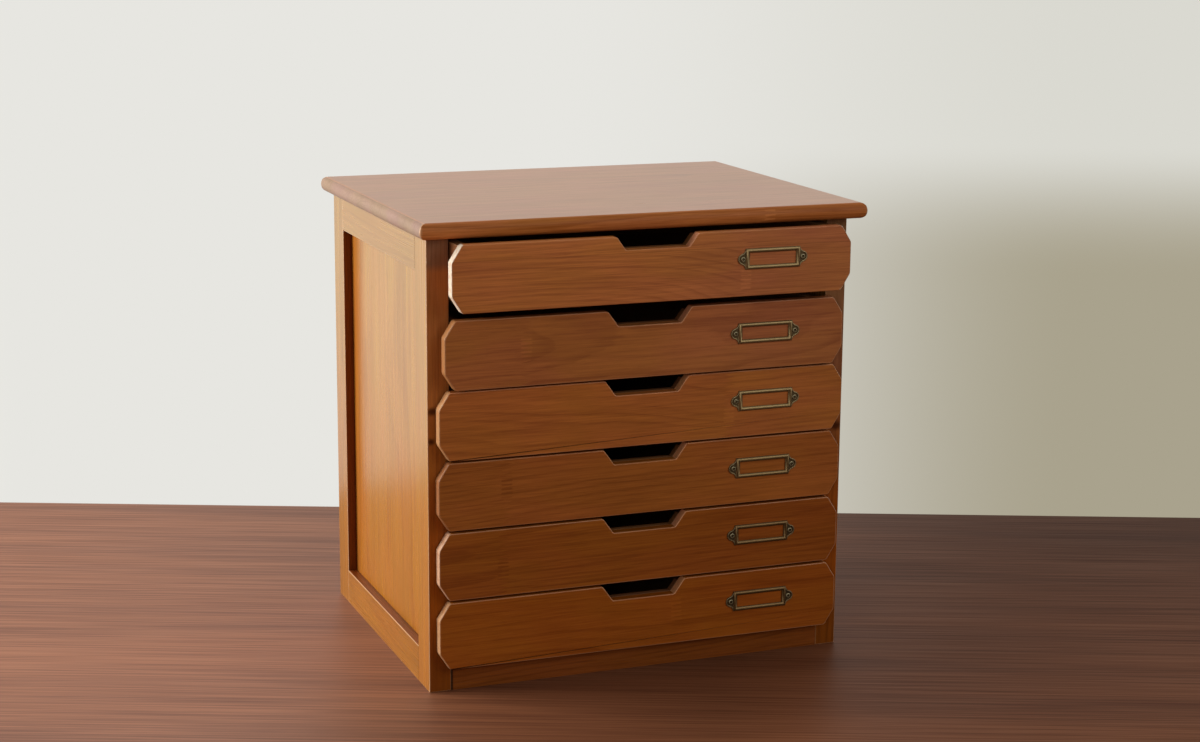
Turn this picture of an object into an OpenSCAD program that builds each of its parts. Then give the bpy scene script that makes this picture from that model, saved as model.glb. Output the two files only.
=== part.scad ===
// Desktop chest of six shallow drawers.
// The cabinet has frame-and-panel sides, an overhanging top board and wooden side runners. Each drawer
// is a grooved box with a lay-on front, a finger notch and a stamped label holder.
// Millimetres. X runs to the right, Y to the back and Z up. The origin is the middle of the footprint
// of the whole chest as it stands, with the three upper drawers pulled out a little. The fronts of the
// two upper drawers are cut a little smaller than the others.

/* [Cabinet] */
// Width over the two side frames
cabinet_w = 360; // [330:1:420]
// Depth of the side frames, front to back
cabinet_d = 276; // [270:1:330]
// Thickness of the side frames, which is the width of a stile seen from the front
frame_t = 18; // [16:0.5:22]
// Depth of each upright stile, seen from the side
stile_w = 30; // [26:1:40]
// Height of the top rail of a side frame and of the upper rear rail
top_rail_h = 30; // [20:1:40]
// Height of the bottom rail of a side frame and of the lower rear rail
bottom_rail_h = 30; // [20:1:40]
// Height of the rail between the front stiles
front_rail_h = 24; // [18:0.5:25]
// Thickness of the rail between the front stiles
front_rail_t = 18; // [12:0.5:24]
// Thickness of the rails between the rear stiles
rear_rail_t = 12; // [10:0.5:13]

/* [Panels] */
// Thickness of the side panels
panel_t = 6; // [4:0.5:7]
// How far a side panel lies behind the outer face of its frame
panel_recess = 8; // [4:0.5:8.5]
// Depth of the grooves that hold the panels
groove_depth = 4; // [2:0.5:6]
// Thickness of the back panel
back_t = 4; // [3:0.5:5]
// Thickness of the bottom panel
base_t = 4; // [3:0.5:5]
// Height of the bottom panel's underside above the table
base_lift = 8; // [4:0.5:10]

/* [Top board] */
// Thickness of the top board
board_t = 13; // [11:0.5:20]
// Overhang of the top board past the front of the stiles
board_front = 18; // [12:0.5:25]
// Overhang of the top board past each side
board_side = 10; // [5:0.5:20]
// Overhang of the top board past the back
board_back = 6; // [0:0.5:12]
// Radius along all upper and lower edges of the top board
board_edge_r = 5; // [1:0.5:5]
// Radius of the top board's four corners, seen from above
board_corner_r = 2; // [1:0.5:10]

/* [Drawer fronts] */
// Height of a drawer front
front_h = 55; // [48:0.5:80]
// Gap between one drawer front and the next
front_gap = 2; // [1:0.5:6]
// Thickness of a drawer front
front_t = 9; // [7:0.5:14]
// How far a front stops short of the cabinet's side
front_margin = 6; // [2:0.5:8]
// Height of the lowest front's bottom edge above the table
lowest_front_z = 20.5; // [20.5:0.5:40]
// Extra gap under the top drawer
top_drawer_lift = 6; // [0:0.5:12]
// Gap between the top drawer's front and the top board
top_gap = 2.5; // [1:0.5:10]
// How much the top drawer's front is cut down at its top edge
top_front_cut = 2; // [0:0.5:3]
// How much the top drawer's front is cut short at each end
top_front_short = 5; // [0:0.5:8]
// How much the second drawer's front is cut short at each end
second_front_short = 3.5; // [0:0.5:8]
// Width of the clip at each corner of a front
clip_w = 8.5; // [2:0.5:15]
// Height of the clip at each corner of a front
clip_h = 13.5; // [2:0.5:20]
// Width of the finger notch at its top
notch_top_w = 72; // [60:1:120]
// Width of the finger notch at its bottom
notch_bottom_w = 54; // [30:1:58]
// Depth of the finger notch
notch_depth = 12.5; // [8:0.5:16]
// Radius of the finger notch's upper corners
notch_top_r = 3; // [1:0.5:6]
// Radius of the finger notch's lower corners
notch_bottom_r = 2; // [1:0.5:5]

/* [Drawer boxes] */
// Clearance between a shut drawer box and the rear rails
back_clearance = 9; // [4:0.5:24]
// Clearance between a drawer side and the stiles
side_clearance = 1.5; // [0.5:0.25:2.5]
// Height of the drawer sides
side_h = 46; // [40:0.5:47]
// Thickness of the drawer sides
side_t = 9; // [8.5:0.5:12]
// Thickness of the box front behind the lay-on front
box_front_t = 6; // [5:0.5:10]
// Thickness of the drawer back
box_back_t = 9; // [6:0.5:12]
// How far the drawer back stops below the top of the sides
back_drop = 4; // [0:0.5:8]
// How far the drawer box is set up from the front's bottom edge
box_lift = 5; // [4.5:0.5:6]
// Thickness of the drawer bottom
bottom_t = 3; // [2:0.5:4]
// Height of the drawer bottom's underside above the bottom of the sides
bottom_lift = 5; // [3:0.5:8]
// Depth of the groove in the drawer sides and back that holds the bottom
bottom_groove = 3; // [2:0.5:3]

/* [Runners] */
// Height of a runner strip
runner_h = 9.4; // [8:0.2:12]
// How far a runner stands out from the stiles
runner_t = 6; // [5:0.25:6.25]
// Clearance above and below a runner in its groove
runner_clearance = 0.3; // [0.2:0.1:0.6]
// Depth of the runner groove in a drawer side
runner_groove = 5; // [5:0.25:5.5]
// How far a runner stops short of the front and back of the side frames
runner_inset = 14; // [8:1:18]

/* [Fasteners] */
// Diameter of a runner screw's shank
screw_d = 3.2; // [2.5:0.1:4]
// Diameter of a runner screw's countersunk head
screw_head_d = 6.4; // [5:0.1:7]
// Length of a runner screw
screw_l = 16; // [12:1:20]
// Diameter of a label pin's shank
pin_d = 1.2; // [0.8:0.1:1.6]
// Diameter of a label pin's domed head
pin_head_d = 3.4; // [2.6:0.1:3.8]
// Length of a label pin below its head
pin_l = 7; // [4:0.5:8]

/* [Label holders] */
// Width of the raised card frame
label_w = 48; // [40:0.5:60]
// Height of the raised card frame
label_h = 17; // [14:0.5:24]
// Width of a bar of the card frame
label_bar = 3.2; // [2.5:0.1:4]
// How far the card frame's ridge stands out from the drawer front
label_rise = 2; // [1.5:0.1:3]
// How far each ear reaches past the card frame
ear_reach = 6.5; // [5:0.5:7]
// Thickness of the ears' floor
ear_t = 0.6; // [0.4:0.1:0.8]
// Width of the raised rim round an ear
ear_rim_w = 0.8; // [0.5:0.1:1]
// Height of the ears' raised rim above the drawer front
ear_rim_t = 1.2; // [1:0.1:1.4]
// Depth of the slot behind the card frame
card_slot = 0.6; // [0.3:0.1:0.8]
// Distance from a front's right end to the middle of its label holder
label_inset = 70; // [60:1:88]
// Distance from an uncut front's top edge to the middle of its label holder
label_drop = 25; // [20:0.5:30]

/* [Pose] */
// How far the top drawer stands open
pull_1 = 21; // [0.5:0.5:100]
// How far the second drawer stands open
pull_2 = 7; // [0.5:0.5:20]
// How far the third drawer stands open
pull_3 = 2.5; // [0.5:0.5:8]
// Gap behind the front of a closed drawer
closed_gap = 0.3; // [0.1:0.1:0.5]

/* [Hidden] */
drawer_count = 6;
DRAWERS = [1 : drawer_count];
DRAWER_PIECES = ["front", "box_front", "left_side", "right_side", "back", "bottom", "label_holder"];

LEFT = -1;
RIGHT = 1;
fit = 0.1;           // play on each face of a piece that sits in a groove
bore_fit = 0.05;     // radial play of a screw or pin in its hole
cut = 1;             // overrun of a cutting shape past the face that it cuts
arc_steps = 5;       // flats in a rounded corner of a drawer front
$fn = 48;

half_w = cabinet_w / 2;
inner_x = half_w - frame_t;
cabinet_h = lowest_front_z + drawer_count * front_h + (drawer_count - 1) * front_gap
    + top_drawer_lift - top_front_cut + top_gap;
open_pulls = [pull_1, pull_2, pull_3];
front_shorts = [top_front_short, second_front_short];

// The footprint runs from the front of the top drawer's label holder to the top board's back edge.
face_y = (pull_1 + front_t + label_rise - cabinet_d - board_back) / 2;
back_y = face_y + cabinet_d;

panel_x = half_w - panel_recess;            // outer face of the right side panel
groove_x = inner_x + groove_depth;          // floor of the grooves in the frames' inner faces
back_panel_y = back_y - (rear_rail_t + back_t) / 2;

box_d = cabinet_d - rear_rail_t - back_clearance;
box_w = 2 * (inner_x - side_clearance);
box_inner_w = box_w - 2 * side_t;
side_top = box_lift + side_h;
runner_mid = box_lift + side_h / 2;         // middle of a runner above the front's bottom edge
runner_play = 2;                            // free length between a runner's end and its groove's end
runner_l = cabinet_d - 2 * runner_inset;
screw_inset = (runner_inset + stile_w) / 2; // screws sit mid-way where a runner crosses a stile
front_screw_y = face_y + screw_inset;
rear_screw_y = back_y - screw_inset;

pin_offset = 2.2;                           // from the card frame's end to a label pin
pin_x = label_w / 2 + pin_offset;

// Drawers are numbered from the top.
function front_half(n) = half_w - front_margin - (n <= len(front_shorts) ? front_shorts[n - 1] : 0);
function front_top(n) = front_h - (n == 1 ? top_front_cut : 0);
function label_x(n) = front_half(n) - label_inset;
function front_z(n) =
    lowest_front_z + (drawer_count - n) * (front_h + front_gap) + (n == 1 ? top_drawer_lift : 0);
function runner_z(n) = front_z(n) + runner_mid;
function drawer_y(n) = face_y - (n <= len(open_pulls) ? open_pulls[n - 1] : closed_gap);

// ---- helpers ------------------------------------------------------------------------------------

// A block between two opposite corners.
module block(low, high) {
    translate(low) cube(high - low);
}

// Draws a piece of the right-hand side as it is, or mirrors it to the left.
module on_side(side) {
    mirror([side == LEFT ? 1 : 0, 0, 0]) children();
}

// A rectangle about the origin with round corners.
module round_rect(w, h, r) {
    square([w - 2 * r, h], center = true);
    square([w, h - 2 * r], center = true);
    for (x = [-1, 1], y = [-1, 1])
        translate([x * (w / 2 - r), y * (h / 2 - r)]) circle(r);
}

function unit(v) = v / norm(v);

// The arc that rounds the corner b between its neighbours a and c.
function corner_arc(a, b, c, r) =
    let (u = unit(a - b), v = unit(c - b), half = acos(u * v) / 2, turn = 180 - 2 * half,
         centre = b + unit(u + v) * r / sin(half),
         first = b + u * r / tan(half) - centre,
         last = b + v * r / tan(half) - centre)
    [for (i = [0 : arc_steps])
        centre + (sin((1 - i / arc_steps) * turn) * first + sin(i / arc_steps * turn) * last) / sin(turn)];

// An outline whose corners are rounded by the radii, one for each point; 0 keeps a corner sharp.
function rounded(points, radii) =
    let (count = len(points))
    [for (i = [0 : count - 1])
        each radii[i] == 0
            ? [points[i]]
            : corner_arc(points[(i + count - 1) % count], points[i], points[(i + 1) % count], radii[i])];

// Stands a drawing in the X-Z plane up and gives it a thickness towards the back.
module upright(thickness) {
    translate([0, thickness, 0]) rotate([90, 0, 0]) linear_extrude(thickness) children();
}

// ---- cabinet ------------------------------------------------------------------------------------

// The grooves that the cabinet's own pieces share: side panel, back panel and bottom panel.
module side_panel_groove() {
    block([panel_x - panel_t - fit, face_y + stile_w - groove_depth, -cut],
          [panel_x + fit, back_y - stile_w + groove_depth, cabinet_h + cut]);
}

module rail_panel_groove() {
    block([panel_x - panel_t - fit, face_y - cut, bottom_rail_h - groove_depth],
          [panel_x + fit, back_y + cut, cabinet_h - top_rail_h + groove_depth]);
}

module back_panel_groove() {
    block([-groove_x, back_panel_y - fit, bottom_rail_h - groove_depth],
          [groove_x, back_panel_y + back_t + fit, cabinet_h - top_rail_h + groove_depth]);
}

module bottom_panel_groove() {
    block([-groove_x, face_y + front_rail_t - groove_depth, base_lift - fit],
          [groove_x, back_y - rear_rail_t + groove_depth, base_lift + base_t + fit]);
}

// Something at the runner screws of the right-hand side that lie at the given depths, pointing to +X.
module at_screws(depths) {
    for (n = DRAWERS, y = depths)
        translate([inner_x - runner_t, y, runner_z(n)]) rotate([0, 90, 0]) children();
}

module screw_bore() {
    translate([0, 0, -cut]) cylinder(d = screw_d + 2 * bore_fit, h = screw_l + bore_fit + cut);
}

module top_board() {
    w = cabinet_w + 2 * board_side;
    d = board_front + cabinet_d + board_back;
    color("#8a5230")
    translate([0, face_y - board_front + d / 2, cabinet_h + board_t / 2])
    intersection() {
        rotate([90, 0, 90]) linear_extrude(w, center = true) round_rect(d, board_t, board_edge_r);
        rotate([90, 0, 0]) linear_extrude(d, center = true) round_rect(w, board_t, board_edge_r);
        linear_extrude(board_t, center = true) round_rect(w, d, board_corner_r);
    }
}

module front_stile(side) {
    color("#6b3a1e") on_side(side)
    difference() {
        block([inner_x, face_y, 0], [half_w, face_y + stile_w, cabinet_h]);
        side_panel_groove();
        bottom_panel_groove();
        at_screws([front_screw_y]) screw_bore();
    }
}

module rear_stile(side) {
    color("#b9773c") on_side(side)
    difference() {
        block([inner_x, back_y - stile_w, 0], [half_w, back_y, cabinet_h]);
        side_panel_groove();
        back_panel_groove();
        bottom_panel_groove();
        at_screws([rear_screw_y]) screw_bore();
    }
}

// A rail of a side frame, with a stub tenon at each end that fills the stile's groove.
module side_rail(side, z0, z1) {
    color("#c58a4e") on_side(side)
    difference() {
        union() {
            block([inner_x, face_y + stile_w, z0], [half_w, back_y - stile_w, z1]);
            block([panel_x - panel_t, face_y + stile_w - groove_depth + fit, z0],
                  [panel_x, back_y - stile_w + groove_depth - fit, z1]);
        }
        rail_panel_groove();
        bottom_panel_groove();
    }
}

module top_rail(side) {
    side_rail(side, cabinet_h - top_rail_h, cabinet_h);
}

module bottom_rail(side) {
    side_rail(side, 0, bottom_rail_h);
}

module side_panel(side) {
    reach = groove_depth - fit;
    color("#c08145") on_side(side)
    block([panel_x - panel_t, face_y + stile_w - reach, bottom_rail_h - reach],
          [panel_x, back_y - stile_w + reach, cabinet_h - top_rail_h + reach]);
}

module front_bottom_rail() {
    color("#6b3a1e")
    difference() {
        block([-inner_x, face_y, 0], [inner_x, face_y + front_rail_t, front_rail_h]);
        bottom_panel_groove();
    }
}

module rear_cross_rails() {
    color("#9a5f33")
    difference() {
        union() {
            block([-inner_x, back_y - rear_rail_t, 0], [inner_x, back_y, bottom_rail_h]);
            block([-inner_x, back_y - rear_rail_t, cabinet_h - top_rail_h], [inner_x, back_y, cabinet_h]);
        }
        back_panel_groove();
        bottom_panel_groove();
    }
}

module back_panel() {
    reach = groove_depth - fit;
    color("#a96f3f")
    block([-inner_x - reach, back_panel_y, bottom_rail_h - reach],
          [inner_x + reach, back_panel_y + back_t, cabinet_h - top_rail_h + reach]);
}

module bottom_panel() {
    reach = groove_depth - fit;
    color("#a96f3f")
    block([-inner_x - reach, face_y + front_rail_t - reach, base_lift],
          [inner_x + reach, back_y - rear_rail_t + reach, base_lift + base_t]);
}

// ---- runners ------------------------------------------------------------------------------------

module runners(side) {
    color("#caa06a") on_side(side)
    difference() {
        for (n = DRAWERS)
            block([inner_x - runner_t, face_y + runner_inset, runner_z(n) - runner_h / 2],
                  [inner_x, face_y + runner_inset + runner_l, runner_z(n) + runner_h / 2]);
        at_screws([front_screw_y, rear_screw_y]) {
            screw_bore();
            screw_cone(bore_fit);
            translate([0, 0, -cut]) cylinder(d = screw_head_d + 2 * bore_fit, h = cut);
        }
    }
}

// The cone of a countersunk head that is flush at z = 0, grown all round by play.
module screw_cone(play) {
    cylinder(d1 = screw_head_d + 2 * play, d2 = screw_d + 2 * play, h = (screw_head_d - screw_d) / 2);
}

module screw() {
    slot_l = 0.6 * screw_head_d;
    slot_w = 0.9;
    slot_d = 0.9;
    difference() {
        union() {
            screw_cone(0);
            cylinder(d = screw_d, h = screw_l);
        }
        for (turn = [0, 90])
            rotate([0, 0, turn]) cube([slot_l, slot_w, 2 * slot_d], center = true);
    }
}

module runner_screws() {
    color("#b8b4a8")
    for (side = [LEFT, RIGHT]) on_side(side) at_screws([front_screw_y, rear_screw_y]) screw();
}

// ---- drawers ------------------------------------------------------------------------------------
// A drawer is drawn with X = 0 in its middle, Y = 0 at the back face of its front and Z = 0 at the
// front's bottom edge.

module place_drawer(n) {
    translate([0, drawer_y(n), front_z(n)]) children();
}

function notch_points(top) =
    let (slope = (notch_top_w - notch_bottom_w) / 2 / notch_depth,
         half_top = notch_bottom_w / 2 + slope * (top - front_h + notch_depth))
    [[half_top, top],
     [notch_bottom_w / 2, front_h - notch_depth],
     [-notch_bottom_w / 2, front_h - notch_depth],
     [-half_top, top]];

module front_outline(n) {
    half = front_half(n);
    top = front_top(n);
    points = concat(
        [[-half + clip_w, 0], [half - clip_w, 0], [half, clip_h], [half, top - clip_h], [half - clip_w, top]],
        notch_points(top),
        [[-half + clip_w, top], [-half, top - clip_h], [-half, clip_h]]);
    radii = [0, 0, 0, 0, 0, notch_top_r, notch_bottom_r, notch_bottom_r, notch_top_r, 0, 0, 0];
    polygon(rounded(points, radii));
}

module at_pins(n) {
    for (x = [-pin_x, pin_x])
        translate([label_x(n) + x, -front_t, front_h - label_drop]) rotate([-90, 0, 0]) children();
}

module drawer_front(n) {
    color("#7a4526")
    difference() {
        translate([0, -front_t, 0]) upright(front_t) front_outline(n);
        at_pins(n) translate([0, 0, -cut])
            cylinder(d = pin_d + 2 * bore_fit, h = pin_l - ear_t + bore_fit + cut);
    }
}

module bottom_slot() {
    block([-box_inner_w / 2 - bottom_groove, box_front_t - bottom_groove, box_lift + bottom_lift - fit],
          [box_inner_w / 2 + bottom_groove, box_d - box_back_t + bottom_groove,
           box_lift + bottom_lift + bottom_t + fit]);
}

module drawer_box_front() {
    color("#8f5a35")
    difference() {
        upright(box_front_t) difference() {
            translate([-box_inner_w / 2, box_lift]) square([box_inner_w, side_h]);
            polygon(rounded(notch_points(side_top + cut), [0, notch_bottom_r, notch_bottom_r, 0]));
        }
        bottom_slot();
    }
}

module drawer_side(side) {
    groove_half = runner_h / 2 + runner_clearance;
    color("#c79a66") on_side(side)
    difference() {
        block([box_inner_w / 2, 0, box_lift], [box_w / 2, box_d, side_top]);
        block([box_w / 2 - runner_groove, runner_inset - runner_play, runner_mid - groove_half],
              [box_w / 2 + cut, box_d + cut, runner_mid + groove_half]);
        bottom_slot();
    }
}

module drawer_back() {
    color("#c79a66")
    difference() {
        block([-box_inner_w / 2, box_d - box_back_t, box_lift], [box_inner_w / 2, box_d, side_top - back_drop]);
        bottom_slot();
    }
}

module drawer_bottom() {
    reach = bottom_groove - fit;
    color("#d3ac78")
    block([-box_inner_w / 2 - reach, box_front_t - reach, box_lift + bottom_lift],
          [box_inner_w / 2 + reach, box_d - box_back_t + reach, box_lift + bottom_lift + bottom_t]);
}

// ---- label holders ------------------------------------------------------------------------------

// A block from z0 to z1 whose section is w by h at z = 0 and grows by slope on each side per unit of z.
module tapered_block(w, h, z0, z1, slope) {
    intersection() {
        rotate([90, 0, 0]) linear_extrude(2 * (w + h), center = true) taper_profile(w / 2, z0, z1, slope);
        rotate([90, 0, 90]) linear_extrude(2 * (w + h), center = true) taper_profile(h / 2, z0, z1, slope);
    }
}

module taper_profile(half, z0, z1, slope) {
    polygon([[-half - slope * z0, z0], [half + slope * z0, z0],
             [half + slope * z1, z1], [-half - slope * z1, z1]]);
}

// The outline of both ears, shrunk by inset. Each is a round lobe about its pin that sweeps up in a
// hollow curve to the card frame's corners. The hollow curve touches the lobe at flare_angle.
module ears_outline(inset) {
    flare_angle = 75;
    corner_drop = 0.85;
    lobe_r = ear_reach - pin_offset;
    corner = label_h / 2 - corner_drop;
    reach = (pow(pin_offset, 2) + pow(corner, 2) - pow(lobe_r, 2))
        / (2 * (corner * sin(flare_angle) - pin_offset * cos(flare_angle) - lobe_r));
    for (side = [LEFT, RIGHT]) on_side(side) translate([pin_x, 0]) {
        circle(lobe_r - inset);
        difference() {
            translate([-pin_offset - cut, -corner])
                square([pin_offset + cut + lobe_r * cos(flare_angle), 2 * corner]);
            for (end = [-1, 1])
                translate([reach * cos(flare_angle), end * reach * sin(flare_angle)])
                    circle(reach - lobe_r + inset);
        }
    }
}

module label_pin() {
    head_h = 0.9;
    dome_r = (pin_head_d * pin_head_d / 4 + head_h * head_h) / (2 * head_h);
    dimple_d = 1.2;
    difference() {
        union() {
            intersection() {
                translate([0, 0, dome_r - head_h]) sphere(dome_r);
                translate([0, 0, -head_h]) cylinder(d = pin_head_d, h = head_h);
            }
            cylinder(d = pin_d, h = pin_l);
        }
        translate([0, 0, -head_h - cut]) cylinder(d = dimple_d, h = cut + head_h / 2);
    }
}

// The holder lies on its back: X along it, Y up the drawer front and Z out of it.
module card_frame() {
    flank = 0.4 * label_bar;        // width of the slanting face on either side of a bar's ridge
    slope = flank / label_rise;
    window_w = label_w - 2 * label_bar;
    window_h = label_h - 2 * label_bar;
    card_lap = 1;
    difference() {
        union() {
            tapered_block(label_w, label_h, 0, label_rise, -slope);
            linear_extrude(ear_t) ears_outline(0);
            linear_extrude(ear_rim_t) difference() {
                ears_outline(0);
                ears_outline(ear_rim_w);
            }
        }
        tapered_block(window_w, window_h, -cut, label_rise + cut, slope);
        translate([-window_w / 2 - card_lap, -window_h / 2 - card_lap, -cut])
            cube([window_w + 2 * card_lap, label_h, card_slot + cut]);
        for (x = [-pin_x, pin_x])
            translate([x, 0, -cut]) cylinder(d = pin_d + 2 * bore_fit, h = ear_t + 2 * cut);
    }
}

module label_holder(n) {
    color("#8a7446") {
        translate([label_x(n), -front_t, front_h - label_drop]) rotate([90, 0, 0]) card_frame();
        translate([0, -ear_t - bore_fit, 0]) at_pins(n) label_pin();
    }
}

// ---- nodes --------------------------------------------------------------------------------------

top_board();
front_stile(LEFT);  // left_front_stile
rear_stile(LEFT);  // left_rear_stile
top_rail(LEFT);  // left_top_rail
bottom_rail(LEFT);  // left_bottom_rail
side_panel(LEFT);  // left_panel
front_stile(RIGHT);  // right_front_stile
rear_stile(RIGHT);  // right_rear_stile
top_rail(RIGHT);  // right_top_rail
bottom_rail(RIGHT);  // right_bottom_rail
side_panel(RIGHT);  // right_panel
front_bottom_rail();
rear_cross_rails();
back_panel();
bottom_panel();
runners(LEFT);  // left_runners
runners(RIGHT);  // right_runners
runner_screws();

for (n = DRAWERS) {
    place_drawer(n) drawer_front(n);
    place_drawer(n) drawer_box_front();
    place_drawer(n) drawer_side(LEFT);
    place_drawer(n) drawer_side(RIGHT);
    place_drawer(n) drawer_back();
    place_drawer(n) drawer_bottom();
    place_drawer(n) label_holder(n);
}
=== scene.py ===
"""The finish of the desktop chest of six drawers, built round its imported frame.

Metres, +Z up, drawer fronts towards -Y. Wooden pieces are soft-edged copies of the frame's own pieces,
and the top board and the label holders are modelled here.
"""
import math

import bmesh
import bpy
from mathutils import Matrix, Vector


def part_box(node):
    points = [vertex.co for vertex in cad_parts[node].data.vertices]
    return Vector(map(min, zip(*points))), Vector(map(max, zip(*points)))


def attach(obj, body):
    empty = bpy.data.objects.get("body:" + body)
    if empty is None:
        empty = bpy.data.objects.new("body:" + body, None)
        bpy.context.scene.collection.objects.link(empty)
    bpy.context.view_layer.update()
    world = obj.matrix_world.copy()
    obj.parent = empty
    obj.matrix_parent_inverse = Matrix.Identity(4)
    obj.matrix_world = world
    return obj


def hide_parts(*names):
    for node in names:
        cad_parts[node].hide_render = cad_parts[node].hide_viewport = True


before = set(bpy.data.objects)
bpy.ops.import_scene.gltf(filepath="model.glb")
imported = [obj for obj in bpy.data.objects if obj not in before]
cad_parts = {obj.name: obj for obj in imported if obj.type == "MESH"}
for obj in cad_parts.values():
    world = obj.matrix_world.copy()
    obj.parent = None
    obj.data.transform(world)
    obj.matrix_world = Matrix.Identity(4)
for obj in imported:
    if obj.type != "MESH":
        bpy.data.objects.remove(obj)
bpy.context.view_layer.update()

MM = 0.001

DRAWERS = range(1, 7)
SIDES = ("left", "right")

# ---- colours --------------------------------------------------------------------------------------


def linear(code):
    """The linear colour of a hex code such as "#a06030"."""
    shares = [int(code[i:i + 2], 16) / 255 for i in (1, 3, 5)]
    return [s / 12.92 if s <= 0.04045 else ((s + 0.055) / 1.055) ** 2.4 for s in shares] + [1]


def stain(light, dark):
    """The lightest and the darkest colour that one stain gives."""
    return linear(light), linear(dark)


# ---- node trees -----------------------------------------------------------------------------------


class Tree:
    """A node tree in which a value fed to a node is a number, a colour or another node's output."""

    def __init__(self, tree):
        self.tree = tree

    def add(self, kind, feeds=None, **settings):
        node = self.tree.nodes.new("ShaderNode" + kind)
        for name, value in settings.items():
            setattr(node, name, value)
        for name, value in (feeds or {}).items():
            self.feed(node.inputs[name], value)
        return node

    def feed(self, socket, value):
        if isinstance(value, bpy.types.NodeSocket):
            self.tree.links.new(value, socket)
        else:
            socket.default_value = value

    def math(self, operation, a, b=0.0, c=0.0, clamp=False):
        node = self.add("Math", {0: a, 1: b, 2: c}, operation=operation, use_clamp=clamp)
        return node.outputs[0]

    def vector(self, operation, a, b=(0, 0, 0), scale=1.0):
        feeds = {0: a, "Scale": scale} if operation == "SCALE" else {0: a, 1: b}
        node = self.add("VectorMath", feeds, operation=operation)
        return node.outputs["Value" if operation in ("LENGTH", "DOT_PRODUCT") else "Vector"]

    def noise(self, point, scale, detail=2.0, roughness=0.5, part="Fac"):
        """Noise with its own scale along each axis, in cycles per unit of point."""
        feeds = {"Vector": self.vector("MULTIPLY", point, scale), "Scale": 1}
        feeds.update({"Detail": detail, "Roughness": roughness})
        return self.add("TexNoise", feeds).outputs[part]

    def wobble(self, point, scale, detail, reach):
        """A smooth random push of up to about half of reach along each axis."""
        push = self.vector("SUBTRACT", self.noise(point, scale, detail, part="Color"), (0.5, 0.5, 0.5))
        return self.vector("SCALE", push, scale=reach)

    def ramp(self, value, low, high, start=0.0, end=1.0):
        """A smooth rise from start to end while value goes from low to high."""
        feeds = {"Value": value, "From Min": low, "From Max": high, "To Min": start, "To Max": end}
        return self.add("MapRange", feeds, interpolation_type="SMOOTHSTEP").outputs["Result"]

    def mix(self, share, a, b, blend="MIX"):
        node = self.add("Mix", {0: share, 6: a, 7: b}, data_type="RGBA", blend_type=blend)
        return node.outputs[2]

    def between(self, share, a, b):
        """The point at share of the way from one fixed point to another."""
        step = [q - p for p, q in zip(a, b)]
        return self.vector("ADD", a, self.vector("SCALE", step, scale=share))

    def random(self, number):
        """A random colour and value for each number."""
        return self.add("TexWhiteNoise", {"W": number}, noise_dimensions="1D").outputs

    def parts(self, vector):
        return self.add("SeparateXYZ", {0: vector}).outputs

    def joined(self, x, y, z):
        return self.add("CombineXYZ", {0: x, 1: y, 2: z}).outputs[0]

    def use(self, group, **feeds):
        """Places a group; far_light=... feeds its input Far light."""
        node = self.add("Group", node_tree=group)
        for name, value in feeds.items():
            self.feed(node.inputs[name.replace("_", " ").capitalize()], value)
        return node.outputs


VALUE, VECTOR, COLOUR = "NodeSocketFloat", "NodeSocketVector", "NodeSocketColor"
ORIGIN = (0, 0, 0)
WHITE, BLACK = (1, 1, 1, 1), (0, 0, 0, 1)


def new_group(name, inputs, outputs):
    """An empty node group: its Tree, the outputs of its input node and the inputs of its output node."""
    group = bpy.data.node_groups.new(name, "ShaderNodeTree")
    for label, kind, value in inputs:
        group.interface.new_socket(label, in_out="INPUT", socket_type=kind).default_value = value
    for label, kind in outputs:
        group.interface.new_socket(label, in_out="OUTPUT", socket_type=kind)
    enter = group.nodes.new("NodeGroupInput")
    leave = group.nodes.new("NodeGroupOutput")
    return group, Tree(group), enter.outputs, leave.inputs


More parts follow.
